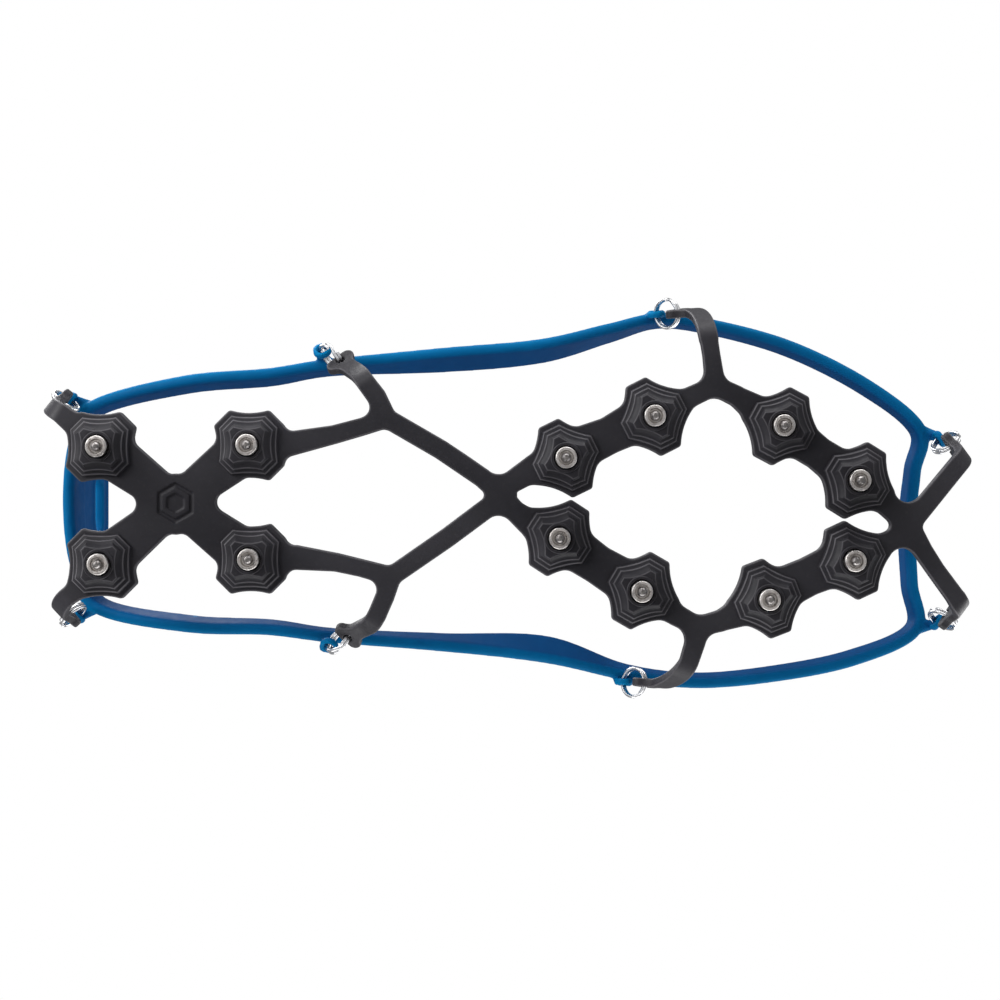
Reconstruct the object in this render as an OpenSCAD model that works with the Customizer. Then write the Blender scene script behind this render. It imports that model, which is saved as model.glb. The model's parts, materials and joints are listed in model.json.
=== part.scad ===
// Shoe ice cleats for one right shoe: a rubber sole web with twelve carbide studs, eight link
// rings and a stretch harness. +X points to the toe, +Y to the inner side, +Z up, tips at z = 0.

/* [Sole web] */
// Thickness of the sole web
web_t = 3; // [2.6:0.2:3.4]
// Height of the web's lower face above the stud tips
web_z = 7; // [6.6:0.2:8]
// Radius of the fillets where two members of the web meet
web_fillet = 3; // [2:0.5:3]
// Width of the two crossing bars of the heel plate
heel_bar_w = 13; // [11:0.5:14]
// Width of the necks between neighbouring bosses
neck_w = 12; // [9:0.5:13]
// Width of the struts that cross under the arch
strut_w = 6.2; // [5:0.2:7]
// Width of an arm where it leaves the web
arm_w = 6.2; // [5.6:0.2:7]
// Across flats of the plain six-sided recess in the heel plate
recess_af = 10; // [6:1:11]

/* [Stud bosses] */
// Depth of one terrace of a boss
terrace_h = 1.3; // [1:0.1:1.3]
// Radius of the round rim at a boss's tip
rim_r = 4.8; // [4.4:0.1:4.9]

/* [Studs] */
// Radius of a stud body's collar
collar_r = 3.35; // [3:0.05:3.5]
// Radius of the flange that holds a stud body in the web
flange_r = 6; // [5:0.25:6.5]
// Thickness of the flange
flange_t = 1.2; // [0.8:0.1:1.4]
// Radius of a carbide pin
pin_r = 1.45; // [1.2:0.05:1.6]

/* [Link rings] */
// Radius of a link ring, to the middle of its wire
ring_r = 4.6; // [4.4:0.1:5]
// Thickness of a link ring's wire, which goes round twice
wire_d = 1; // [0.8:0.05:1.1]
// Radius of the eyelets that the rings pass through
eyelet_r = 1.4; // [1.3:0.05:1.5]

/* [Harness] */
// Thickness of the harness band
band_t = 4; // [3:0.5:4.5]
// Width of the heel pull tab
tab_w = 30; // [26:1:34]
// Height of the heel pull tab's top edge
tab_top = 86; // [80:1:92]

/* [Hidden] */
$fn = 48;

// Boss and stud places: name, x, y, turn of the boss
STUDS = [
    ["heel_rear_outer", -127, -16, 0], ["heel_rear_inner", -126.5, 20.5, 0],
    ["heel_front_outer", -80.5, -16.5, 0], ["heel_front_inner", -80, 19, 0],
    ["ball_rear_outer", 18.5, -12.5, 19], ["ball_rear_inner", 16.5, 12.5, -12],
    ["ball_front_outer", 46, -25.5, 18], ["ball_front_inner", 42, 29, -15],
    ["toe_rear_outer", 86, -22.5, -17], ["toe_rear_inner", 81.5, 31.5, 24],
    ["toe_front_outer", 109.5, -5.5, -13], ["toe_front_inner", 108, 19.5, 20]
];

// Arms: name, end on the web, heading there, eyelet, way along the end plate, outward hint
ARMS = [
    ["heel_outer", [-139.5, -26.5], [-0.87, -0.5], [-144.95, -31, 27], [0.05, -0.15, 0.98], [-0.8, -0.6, -0.3]],
    ["heel_inner", [-136.8, 30.4], [-0.8, 0.6], [-142.6, 37.6, 27], [0.05, 0.15, 0.98], [-0.75, 0.66, -0.3]],
    ["arch_outer", [-43.5, -35.5], [-0.6, -0.8], [-53, -43.5, 19], [-0.7, -0.45, 0.55], [-0.05, -0.7, -1]],
    ["arch_inner", [-40.5, 36.5], [-0.45, 0.89], [-50.5, 44, 19], [-0.74, 0.4, 0.55], [-0.05, 0.7, -1]],
    ["ball_outer", [63.4, -50], [-0.2, -1], [56, -60.2, 27], [-0.7, -0.05, 0.71], [-0.05, -1, -0.2]],
    ["ball_inner", [57.2, 51.3], [-0.38, 0.92], [45.2, 60.2, 27], [-0.7, 0.05, 0.71], [-0.05, 1, -0.2]],
    ["toe_outer", [141, -9.8], [0.65, -0.76], [145.2, -16.9, 27], [-0.15, -0.3, 0.94], [0.85, -0.5, -0.3]],
    ["toe_inner", [141, 31.4], [0.5, 0.87], [144.2, 38.3, 27], [-0.15, 0.3, 0.94], [0.85, 0.5, -0.3]]
];

// Points along the harness band: x, y, z of its middle, its height and its lean to the shoe in degrees
BAND = [
    [-146, 2, 46, 16, 0], [-144.3, -17, 45, 15, 0], [-138, -30, 43, 12, 5], [-106, -37.5, 35, 11, 12],
    [-78, -39.8, 33, 10, 15], [-58, -43, 33, 10, 12], [-22, -45.4, 33, 12, 24], [11, -48.4, 33.5, 12, 24],
    [34, -54.6, 36, 10, 18], [51, -59.2, 40, 9, 8], [70, -57, 41.5, 9, 8], [95, -50, 42, 9, 10],
    [120, -37.5, 42, 9, 10], [138, -23, 42.5, 9, 5], [138, -9, 48.5, 11, 0], [137, 9.5, 51.5, 12, 0],
    [137, 29, 48.5, 11, 0], [136.5, 44, 42.5, 9, 5], [116, 53.5, 42, 9, 10], [90, 58.8, 42, 9, 10],
    [64, 61, 41.5, 9, 8], [40, 58, 39, 9, 12], [13, 50, 35, 12, 32], [-22, 47.4, 33, 10, 14],
    [-57, 45.2, 33, 9, 5], [-78, 42.5, 33, 9, 10], [-105, 41.5, 35, 10, 12], [-136.5, 36, 43, 12, 5],
    [-143.8, 21, 45, 15, 0]
];
// Which point of the band each arm's lug hangs from, in the order of ARMS
LUG_AT = [2, 27, 5, 24, 9, 21, 13, 17];

// Places on the web where members meet
HUB = [-1.5, -1];
ARCH_OUT = [-37.5, -25];
ARCH_IN = [-36, 24.5];
BALL_OUT = [64.5, -37];
BALL_IN = [60, 44];
TOE = [126, 8.5];
HEEL_MID = [-103.5, 1.5];

web_top = web_z + web_t;
mid_z = web_z + web_t / 2;
rim_z = web_z - 3 * terrace_h - 0.5;
end_plate_t = 2.8;
strap_t = 2.6;
bore_gap = 0.05;
tab_t = 3.2;

function at(i) = [STUDS[i][1], STUDS[i][2]];
function unit(v) = v / norm(v);
function square_to(v, d) = unit(v - (v * d) * d);
function lerp(a, b, t) = a + (b - a) * t;

// Frame of an arm's end plate: along it, across it, out of it, and the eyelet's middle
function along(a) = unit(a[4]);
function out(a) = square_to(a[5], along(a));
function frame(a, p) =
    let (u = along(a), w = out(a), v = cross(w, u))
    [[u[0], v[0], w[0], p[0]], [u[1], v[1], w[1], p[1]], [u[2], v[2], w[2], p[2]], [0, 0, 0, 1]];
function lug_pos(a) = a[3] + 2 * ring_r * along(a);

// Outline of a boss: a square with cut corners and hollow sides
function boss_side(corner, flat, cut) =
    let (x = (corner + cut) / sqrt(2), y = (corner - cut) / sqrt(2))
    [for (u = [-1:0.4:1]) [x - (x - flat) * (1 - u * u), u * y]];
function turned(p, a) = [p[0] * cos(a) - p[1] * sin(a), p[0] * sin(a) + p[1] * cos(a)];
function boss_outline(corner, flat, cut) =
    [for (a = [0:90:270]) for (p = boss_side(corner, flat, cut)) turned(p, a)];

module boss_shape(i, corner, flat, cut) {
    translate(at(i)) rotate(STUDS[i][3]) polygon(boss_outline(corner, flat, cut));
}

module boss_base(i) {
    boss_shape(i, 11.9, 9.9, 3.2);
}

// Flat bar between two points, wa wide at the first and wb at the second
module bar(a, b, wa, wb) {
    n = turned(unit(b - a), 90) / 2;
    polygon([a + n * wa, a - n * wa, b - n * wb, b + n * wb]);
}

// Rounds the inner corners of its children
module filleted(r = web_fillet) {
    offset(r = -r, $fn = 32) offset(delta = r) children();
}

module arm_root(i, from) {
    a = ARMS[i];
    bar(from, a[1] + a[2] * 2, arm_w, arm_w - 0.6);
}

module heel_side() {
    filleted() {
        for (i = [0:3]) boss_base(i);
        for (i = [0:3]) bar(at(i), HEEL_MID, heel_bar_w + 2.5, heel_bar_w);
        bar(at(2), [-63, -17], 12, 8);
        bar([-66, -16.5], ARCH_OUT, strut_w, strut_w - 0.4);
        bar(at(3), [-61, 19], 12, 8);
        bar([-63, 18.5], ARCH_IN, strut_w, strut_w - 0.4);
        bar(ARCH_OUT, HUB, strut_w, strut_w);
        bar(ARCH_IN, HUB, strut_w, strut_w);
        arm_root(0, [-131, -21]);
        arm_root(1, [-130.5, 25.5]);
        arm_root(2, ARCH_OUT);
        arm_root(3, ARCH_IN);
    }
}

// One side of the forefoot: four bosses in a chain from the hub to the toe
module fore_side(bosses, arch, ball, arm_ball, arm_toe, toe_bend) {
    filleted() {
        for (i = bosses) boss_base(i);
        bar(arch, HUB, strut_w, strut_w);
        bar(HUB, at(bosses[0]), strut_w - 0.6, strut_w);
        bar(at(bosses[0]), at(bosses[1]), neck_w, neck_w);
        bar(at(bosses[1]), ball, neck_w, 8);
        bar(ball, at(bosses[2]), 7, neck_w);
        bar(at(bosses[2]), at(bosses[3]), neck_w, neck_w);
        bar(at(bosses[3]), TOE, 8, strut_w - 0.4);
        arm_root(arm_ball, ball);
        bar(TOE, toe_bend, arm_w, arm_w);
        arm_root(arm_toe, toe_bend);
    }
}

module web_outline() {
    heel_side();
    fore_side([4, 6, 8, 10], ARCH_OUT, BALL_OUT, 4, 6, [135.5, -3.5]);
    fore_side([5, 7, 9, 11], ARCH_IN, BALL_IN, 5, 7, [135, 21]);
    translate(HUB) circle(4.5);
    translate(TOE) circle(4);
}

module boss(i) {
    steps = [[9.6, 8.2, 2.4], [8.2, 6.7, 1.8], [6.8, 5.1, 1.1]];
    for (k = [0:2])
        translate([0, 0, web_z - (k + 1) * terrace_h])
            linear_extrude((k + 1) * terrace_h + 1)
                boss_shape(i, steps[k][0], steps[k][1], steps[k][2]);
    translate([at(i)[0], at(i)[1], rim_z]) cylinder(r = rim_r, h = web_z - rim_z + 1);
}

// A strap swept along a curve from the web's edge up to the end plate
function bezier(p, t) =
    let (s = 1 - t)
    s * s * s * p[0] + 3 * s * s * t * p[1] + 3 * s * t * t * p[2] + t * t * t * p[3];
function bezier_way(p, t) =
    let (s = 1 - t)
    unit(s * s * (p[1] - p[0]) + 2 * s * t * (p[2] - p[1]) + t * t * (p[3] - p[2]));
function strap_path(a) =
    let (u = along(a), h = unit([a[2][0], a[2][1], 0]), start = [a[1][0], a[1][1], mid_z])
    [start, start + 4 * h, a[3] - 10 * u, a[3] - 5 * u];
function strap_ring(a, t) =
    let (p = strap_path(a), c = bezier(p, t), u = bezier_way(p, t),
         w = square_to(lerp([0, 0, -1], out(a), t), u), v = cross(w, u),
         x = lerp(arm_w - 0.8, arm_w - 0.6, t) / 2, y = strap_t / 2, b = 0.5)
    [for (q = [[x, b - y], [x, y - b], [x - b, y], [b - x, y],
               [-x, y - b], [-x, b - y], [b - x, -y], [x - b, -y]])
        c + q[0] * v + q[1] * w];

// Closed skin over rings of the same number of points, with both ends capped
module skin(rings, closed = false) {
    n = len(rings[0]);
    m = len(rings);
    last = closed ? m - 1 : m - 2;
    sides = [for (i = [0:last]) for (j = [0:n - 1])
        let (a = i * n, b = ((i + 1) % m) * n, k = (j + 1) % n)
        each [[a + j, b + k, a + k], [a + j, b + j, b + k]]];
    caps = closed ? [] : [[for (j = [0:n - 1]) j], [for (j = [n - 1:-1:0]) (m - 1) * n + j]];
    polyhedron([for (r = rings) each r], concat(sides, caps));
}

module strap(a) {
    skin([for (t = [0:0.1:1.001]) strap_ring(a, t)]);
}

module end_plate(a) {
    multmatrix(frame(a, a[3]))
        translate([0, 0, -end_plate_t / 2])
            linear_extrude(end_plate_t) {
                square([4.4, 6], center = true);
                for (s = [-1, 1]) translate([0, 3 * s]) circle(2.2);
                translate([-6.5, -arm_w / 2 + 0.3]) square([6, arm_w - 0.6]);
            }
}

module eyelet_hole(a, p) {
    multmatrix(frame(a, p)) cylinder(r = eyelet_r, h = 4 * end_plate_t, center = true);
}

module traction_matrix() {
    color([0.21, 0.2, 0.22])
    difference() {
        union() {
            translate([0, 0, web_z]) linear_extrude(web_t) web_outline();
            for (i = [0:len(STUDS) - 1]) boss(i);
            for (a = ARMS) {
                strap(a);
                end_plate(a);
            }
        }
        for (i = [0:len(STUDS) - 1]) translate([at(i)[0], at(i)[1], 0]) {
            cylinder(r = collar_r + bore_gap, h = web_top + 1);
            translate([0, 0, web_top - flange_t - bore_gap]) cylinder(r = flange_r + bore_gap, h = 2);
        }
        for (a = ARMS) eyelet_hole(a, a[3]);
        translate([HEEL_MID[0], HEEL_MID[1], web_z - 1])
            cylinder(d = recess_af / cos(30), h = 1.5, $fn = 6);
    }
}

// Harness band: a smooth closed curve through the points of BAND
function band_pt(i) = BAND[(i + len(BAND)) % len(BAND)];
function band_at(i, t) =
    let (a = band_pt(i - 1), b = band_pt(i), c = band_pt(i + 1), d = band_pt(i + 2))
    0.5 * (2 * b + (c - a) * t + (2 * a - 5 * b + 4 * c - d) * t * t
        + (3 * b - a - 3 * c + d) * t * t * t);
function xyz(p) = [p[0], p[1], p[2]];
function band_ring(i, t) =
    let (p = band_at(i, t), ahead = xyz(band_at(i, t + 0.01)), u = unit(ahead - xyz(p)),
         level = unit(cross([0, 0, 1], u)), up = cross(u, level),
         w = cos(p[4]) * level - sin(p[4]) * up, v = cross(u, w), x = band_t / 2, y = p[3] / 2, b = 1.2)
    [for (q = [[x, b - y], [x, y - b], [x - b, y], [b - x, y],
               [-x, y - b], [-x, b - y], [b - x, -y], [x - b, -y]])
        xyz(p) + q[0] * w + q[1] * v];

// Round rod between two points
module rod(p, q, r) {
    v = q - p;
    translate(p) rotate([0, acos(v[2] / norm(v)), atan2(v[1], v[0])]) cylinder(r = r, h = norm(v));
}

module lug(i) {
    a = ARMS[i];
    p = lug_pos(a);
    multmatrix(frame(a, p)) cylinder(r = 3.3, h = end_plate_t, center = true);
    rod(p + 3.3 * along(a), xyz(BAND[LUG_AT[i]]), 1.9);
}

module pull_tab() {
    back = BAND[0];
    rise = tab_top - back[2];
    translate([back[0] + tab_t / 2, back[1], back[2]]) rotate([90, 0, 90])
        translate([0, 0, -tab_t])
            linear_extrude(tab_t)
                difference() {
                    union() {
                        translate([-tab_w / 2, 0]) square([tab_w, rise - 8]);
                        for (s = [-1, 1]) translate([s * (tab_w / 2 - 8), rise - 8]) circle(8);
                        translate([-tab_w / 2 + 8, 0]) square([tab_w - 16, rise]);
                    }
                    for (s = [-1, 1]) translate([s * (tab_w / 2 - 10), rise - 13]) circle(5);
                    translate([10 - tab_w / 2, rise - 18]) square([tab_w - 20, 10]);
                }
}

module harness() {
    color([0, 0.4, 0.72])
    difference() {
        union() {
            skin([for (i = [0:len(BAND) - 1]) for (t = [0, 0.5]) band_ring(i, t)], closed = true);
            for (i = [0:len(ARMS) - 1]) lug(i);
            pull_tab();
        }
        for (a = ARMS) eyelet_hole(a, lug_pos(a));
    }
}

// Stud body: flange, shank and a collar with a chamfered rim and a recess round the pin
module stud_body(i) {
    rim = collar_r - 0.5;
    well = pin_r + 0.75;
    color([0.8, 0.78, 0.75])
    translate([at(i)[0], at(i)[1], 0])
        rotate_extrude()
            polygon([[pin_r + 0.01, 2.2], [well - 0.25, 2.2], [well, 1.4], [rim, 1.4], [collar_r, 1.9],
                [collar_r, web_top - flange_t], [flange_r, web_top - flange_t],
                [flange_r, web_top], [pin_r + 0.01, web_top]]);
}

// Carbide pin with a domed tip
module carbide_pin(i) {
    color([0.55, 0.54, 0.54])
    translate([at(i)[0], at(i)[1], 0])
        rotate_extrude()
            polygon(concat([[0, web_top - 2], [0, 0]],
                [for (a = [15:15:90]) [pin_r * sin(a), 0.8 * (1 - cos(a))]],
                [[pin_r, web_top - 2]]));
}

// Split ring of two turns of round wire, threaded through an arm's eyelet and a harness lug
module link_ring(i) {
    a = ARMS[i];
    color([0.75, 0.75, 0.77])
    multmatrix(frame(a, a[3] + ring_r * along(a)))
        rotate([90, 0, 0]) rotate([0, 0, 130])
            rotate_extrude(angle = 358)
                for (s = [-1, 1]) translate([ring_r, s * 0.47 * wire_d]) circle(d = wire_d, $fn = 32);
}

traction_matrix();
harness();
for (i = [0:len(STUDS) - 1]) {
    stud_body(i);
    carbide_pin(i);
}
for (i = [0:len(ARMS) - 1])
    link_ring(i);
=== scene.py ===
import json
import math
import bpy
import numpy as np
import openvdb
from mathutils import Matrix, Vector

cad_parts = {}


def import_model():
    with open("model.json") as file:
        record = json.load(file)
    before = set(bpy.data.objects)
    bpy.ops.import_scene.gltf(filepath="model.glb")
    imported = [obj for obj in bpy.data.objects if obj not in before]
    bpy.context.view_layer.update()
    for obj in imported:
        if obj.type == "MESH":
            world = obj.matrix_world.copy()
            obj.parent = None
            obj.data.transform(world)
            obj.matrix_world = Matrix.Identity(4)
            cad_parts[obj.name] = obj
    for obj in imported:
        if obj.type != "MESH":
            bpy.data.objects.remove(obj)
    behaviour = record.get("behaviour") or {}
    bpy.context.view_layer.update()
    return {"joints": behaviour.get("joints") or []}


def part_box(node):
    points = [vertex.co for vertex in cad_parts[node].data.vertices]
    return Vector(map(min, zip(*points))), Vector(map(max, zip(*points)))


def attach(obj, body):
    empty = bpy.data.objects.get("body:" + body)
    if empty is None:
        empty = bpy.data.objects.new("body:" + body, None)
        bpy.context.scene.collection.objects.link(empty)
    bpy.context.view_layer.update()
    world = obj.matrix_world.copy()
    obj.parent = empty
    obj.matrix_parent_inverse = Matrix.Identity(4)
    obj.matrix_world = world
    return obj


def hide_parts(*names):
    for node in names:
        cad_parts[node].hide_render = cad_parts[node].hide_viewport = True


# Shoe ice cleats: a moulded rubber web with studs, link rings and a stretch harness. Shapes are
# worked out in millimetres and written to meshes in metres.
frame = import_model()
MM = 0.001
# Cells of the web's distance field, and of the harness's remesh
CELL = 0.28
HARNESS_CELL = 0.55

# ---------------------------------------------------------------- places taken from the frame


def middle(node):
    lo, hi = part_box(node)
    return np.array([(lo[k] + hi[k]) / 2 / MM for k in range(3)])


# Turn of each boss in degrees
BOSS_TURN = {
    "heel_rear_outer": 0, "heel_rear_inner": 0, "heel_front_outer": 0, "heel_front_inner": 0,
    "ball_rear_outer": 19, "ball_rear_inner": -12, "ball_front_outer": 18,
    "ball_front_inner": -15, "toe_rear_outer": -17, "toe_rear_inner": 24,
    "toe_front_outer": -13, "toe_front_inner": 20,
}
AT = {n: middle("stud_body_" + n)[:2] for n in BOSS_TURN}

# Each arm: its end on the web, its heading there, the way along its end plate, and outwards
ARM = {
    "heel_outer": ([-139.5, -26.5], [-0.87, -0.5], [0.05, -0.15, 0.98], [-0.8, -0.6, -0.3]),
    "heel_inner": ([-136.8, 30.4], [-0.8, 0.6], [0.05, 0.15, 0.98], [-0.75, 0.66, -0.3]),
    "arch_outer": ([-43.5, -35.5], [-0.6, -0.8], [-0.7, -0.45, 0.55], [-0.05, -0.7, -1]),
    "arch_inner": ([-40.5, 36.5], [-0.45, 0.89], [-0.74, 0.4, 0.55], [-0.05, 0.7, -1]),
    "ball_outer": ([63.4, -50], [-0.2, -1], [-0.7, -0.05, 0.71], [-0.05, -1, -0.2]),
    "ball_inner": ([57.2, 51.3], [-0.38, 0.92], [-0.7, 0.05, 0.71], [-0.05, 1, -0.2]),
    "toe_outer": ([141, -9.8], [0.65, -0.76], [-0.15, -0.3, 0.94], [0.85, -0.5, -0.3]),
    "toe_inner": ([141, 31.4], [0.5, 0.87], [-0.15, 0.3, 0.94], [0.85, 0.5, -0.3]),
}
RING_R = 4.6
WEB_LOW, WEB_TOP = 7.0, 10.0
MID_Z = (WEB_LOW + WEB_TOP) / 2
# How far past an arm's bent length its eyelet lies
EYE_RUN = 5


def unit(v):
    v = np.asarray(v, float)
    return v / np.linalg.norm(v)


def square_to(v, d):
    v = np.asarray(v, float)
    return unit(v - v.dot(d) * d)


class Arm:
    """The curve that a flat arm is bent along, and the frame of its end plate."""

    def __init__(self, name):
        end, head, way, hint = ARM[name]
        self.name = name
        self.end = np.array(end, float)
        self.head = unit(head)
        self.u = unit(way)
        self.w = square_to(hint, self.u)
        self.v = np.cross(self.w, self.u)
        joint = next(j for j in frame["joints"] if j["name"] == "ring_" + name + "_spin")
        self.ring = np.array(joint["pos_m"], float) / MM
        self.eye = self.ring - RING_R * self.u
        self.lug = self.ring + RING_R * self.u
        head3 = np.array([self.head[0], self.head[1], 0.0])
        start = np.array([end[0], end[1], MID_Z])
        a, b, c, d = start, start + 4 * head3, self.eye - 10 * self.u, self.eye - EYE_RUN * self.u
        t = np.linspace(0, 1, 161)[:, None]
        s = 1 - t
        self.line = s**3 * a + 3 * s * s * t * b + 3 * s * t * t * c + t**3 * d
        way = s * s * (b - a) + 2 * s * t * (c - b) + t * t * (d - c)
        self.way = way / np.linalg.norm(way, axis=1)[:, None]
        lean = (1 - t) * np.array([0.0, 0.0, -1.0]) + t * self.w
        lean = lean - (lean * self.way).sum(1)[:, None] * self.way
        self.out = lean / np.linalg.norm(lean, axis=1)[:, None]
        self.across = np.cross(self.out, self.way)
        steps = np.linalg.norm(np.diff(self.line, axis=0), axis=1)
        self.run = np.concatenate([[0.0], np.cumsum(steps)])
        self.length = self.run[-1]

    def flat_eye(self):
        """The middle of the eyelet before the arm is bent."""
        return self.end + self.head * (self.length + EYE_RUN)

    def bend(self, pts):
        """Moves the points that lie past the arm's root from the flat onto the curve."""
        rel = pts[:, :2] - self.end
        s = rel @ self.head
        q = rel @ np.array([self.head[1], -self.head[0]])
        mine = (s > 0) & (np.abs(q) < 9) & (s < self.length + 14)
        s, q, n = s[mine], q[mine], MID_Z - pts[mine, 2]
        n = n * (1 - 0.1 * np.clip(s / 8, 0, 1))
        at = np.clip(s, 0, self.length)

        def pick(table):
            return np.stack([np.interp(at, self.run, table[:, k]) for k in range(3)], 1)

        centre = pick(self.line) + np.clip(s - self.length, 0, None)[:, None] * self.u
        pts[mine] = centre + q[:, None] * pick(self.across) + n[:, None] * pick(self.out)


ARMS = [Arm(n) for n in ARM]

# ---------------------------------------------------------------- distance fields

x_cells = np.arange(-172, 168, CELL)
y_cells = np.arange(-90, 88, CELL)
X, Y = (grid.astype(np.float32) for grid in np.meshgrid(x_cells, y_cells, indexing="ij"))


def window(at, reach):
    """The cells of the web's grid within reach of a point."""
    i0, j0 = (int((at[k] - reach - (x_cells, y_cells)[k][0]) / CELL) for k in (0, 1))
    n = int(2 * reach / CELL)
    return (slice(i0, i0 + n), slice(j0, j0 + n))


def segment(a, b):
    dx, dy = b[0] - a[0], b[1] - a[1]
    t = np.clip(((X - a[0]) * dx + (Y - a[1]) * dy) / (dx * dx + dy * dy), 0, 1)
    return np.hypot(X - a[0] - t * dx, Y - a[1] - t * dy) - (a[2] + t * (b[2] - a[2]))


def limb(*points):
    """Distance to a chain of rounded bars; each point is x, y and the half width there."""
    return np.minimum.reduce([segment(a, b) for a, b in zip(points, points[1:])])


def inside_polygon(x, y, pts):
    """Distance to a closed outline, less than zero inside it."""
    best = np.full(x.shape, 1e9)
    odd = np.zeros(x.shape, bool)
    for (ax, ay), (bx, by) in zip(pts, np.roll(pts, -1, axis=0)):
        ex, ey = bx - ax, by - ay
        t = np.clip(((x - ax) * ex + (y - ay) * ey) / (ex * ex + ey * ey), 0, 1)
        best = np.minimum(best, (x - ax - t * ex) ** 2 + (y - ay - t * ey) ** 2)
        if ey != 0:
            odd ^= ((ay > y) != (by > y)) & (x < ax + (y - ay) * ex / ey)
    return np.where(odd, -1.0, 1.0) * np.sqrt(best)


def boss_outline(corner, flat, cut, steps=9):
    """A square with cut corners and hollow sides."""
    x, y = (corner + cut) / math.sqrt(2), (corner - cut) / math.sqrt(2)
    u = np.linspace(-1, 1, steps)
    side = np.stack([x - (x - flat) * (1 - u * u), u * y], 1)
    quarter = np.array([[0, 1], [-1, 0]])
    out = [side]
    for _ in range(3):
        out.append(out[-1] @ quarter)
    return np.concatenate(out)


def shifted(a, i, j, fill):
    """An array moved by i rows and j columns."""
    out = np.full_like(a, fill)
    n, m = a.shape
    out[max(i, 0):n + min(i, 0), max(j, 0):m + min(j, 0)] = \
        a[max(-i, 0):n - max(i, 0), max(-j, 0):m - max(j, 0)]
    return out


def closing(d, r):
    """Grows a shape by r and shrinks it again, which fills its inner corners to radius r."""
    near = d < r + 2
    rows, cols = np.where(near.any(1))[0], np.where(near.any(0))[0]
    box = (slice(max(rows[0] - 2, 0), rows[-1] + 3), slice(max(cols[0] - 2, 0), cols[-1] + 3))
    part = d[box]
    edge = np.where((part >= r) & (part < r + 1.6 * CELL), r - part, 1e3).astype(np.float32)
    reach = int((r + 1.8) / CELL)
    best = np.full_like(edge, 1e3)
    for i in range(-reach, reach + 1):
        for j in range(-reach, reach + 1):
            away = math.hypot(i, j) * CELL
            if away <= r + 1.8:
                best = np.minimum(best, shifted(edge, i, j, 1e3) + away)
    out = d.copy()
    out[box] = np.where(part > r, part, np.maximum(r - best, -1.8))
    return out


def smooth_min(a, b, k):
    """Distance to either of two shapes, blended over k where they meet."""
    h = np.clip(0.5 + 0.5 * (b - a) / k, 0, 1)
    return b * (1 - h) + a * h - k * h * (1 - h)


def round_both(a, b, r):
    """Distance to what two shapes share, with the edge between them rounded to r."""
    a, b = a + r, b + r
    return np.minimum(np.maximum(a, b), 0) + np.hypot(np.maximum(a, 0), np.maximum(b, 0)) - r


def soften(v, weight):
    """Blurs a field by one cell each way, so that moulded edges aren't sharp."""
    for axis in range(v.ndim):
        p = np.swapaxes(v, 0, axis)
        mid = p.copy()
        mid[1:-1] = (1 - 2 * weight) * p[1:-1] + weight * (p[:-2] + p[2:])
        v = np.swapaxes(mid, 0, axis)
    return np.ascontiguousarray(v)


def field_mesh(vol, origin, cell):
    """The zero surface of a distance field, as points in millimetres and four-sided faces."""
    band = 3 * cell
    vol = np.clip(vol, -band, band).astype(np.float32)
    grid = openvdb.FloatGrid(band)
    grid.gridClass = openvdb.GridClass.LEVEL_SET
    grid.copyFromArray(vol, tolerance=0)
    pts, quads = grid.convertToQuads(0)
    pts = pts.astype(float) * cell + np.asarray(origin, float)
    quads = quads.astype(np.int64)
    a, b, c, d = (pts[quads[:, k]] for k in range(4))
    volume = (np.cross(b - a, c - a) * a).sum() + (np.cross(c - a, d - a) * a).sum()
    return pts, (quads if volume > 0 else quads[:, ::-1])


def make_mesh(name, pts, faces):
    """A mesh object from an array of points in millimetres and faces of one size."""
    faces = np.asarray(faces)
    me = bpy.data.meshes.new(name)
    me.vertices.add(len(pts))
    me.vertices.foreach_set("co", (np.asarray(pts) * MM).astype(np.float32).ravel())
    me.loops.add(faces.size)
    me.loops.foreach_set("vertex_index", faces.astype(np.int32).ravel())
    me.polygons.add(len(faces))
    me.polygons.foreach_set("loop_start", np.arange(0, faces.size, faces.shape[1], dtype=np.int32))
    me.update(calc_edges=True)
    me.validate()
    me.polygons.foreach_set("use_smooth", np.ones(len(me.polygons), bool))
    ob = bpy.data.objects.new(name, me)
    bpy.context.scene.collection.objects.link(ob)
    return ob


def tube(sections, closed=False):
    """Skin over a row of rings that have the same number of points."""
    rings = np.asarray(sections)
    m, n = rings.shape[:2]
    faces = []
    for i in range(m if closed else m - 1):
        a, b = i * n, ((i + 1) % m) * n
        for j in range(n):
            k = (j + 1) % n
            faces.append([a + j, a + k, b + k, b + j])
    return rings.reshape(-1, 3), faces


def mark(ob, name, values):
    """Stores a number for each point of a mesh, for its material to read."""
    at = ob.data.attributes.new(name, "FLOAT", "POINT")
    at.data.foreach_set("value", values.astype(np.float32))


# ---------------------------------------------------------------- rubber web

# Where the web's limbs meet
HUB = (-1.5, -1.0)
ARCH_OUT, ARCH_IN = (-37.5, -25.0), (-36.0, 24.5)
BALL_OUT, BALL_IN = (65.3, -35.2), (60.0, 40.3)
TOE = (126.0, 8.4)
OUTER = ["ball_rear_outer", "ball_front_outer", "toe_rear_outer", "toe_front_outer"]
INNER = ["ball_rear_inner", "ball_front_inner", "toe_rear_inner", "toe_front_inner"]
HEEL = ["heel_rear_outer", "heel_rear_inner", "heel_front_outer", "heel_front_inner"]
# Pad under each boss: corner, flat and cut of its outline, and how far it is grown round that
PAD_SHAPE, PAD_GROWN = (11.05, 9.0, 2.8), 1.15
# Radii of the collar's bore, of the flange's seat and of an eyelet, and the seat's depth
BORE_R, SEAT_R, EYELET_R, SEAT_DEPTH = 3.4, 6.05, 1.4, 1.25


def wide(point, half):
    return (point[0], point[1], half)


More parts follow.
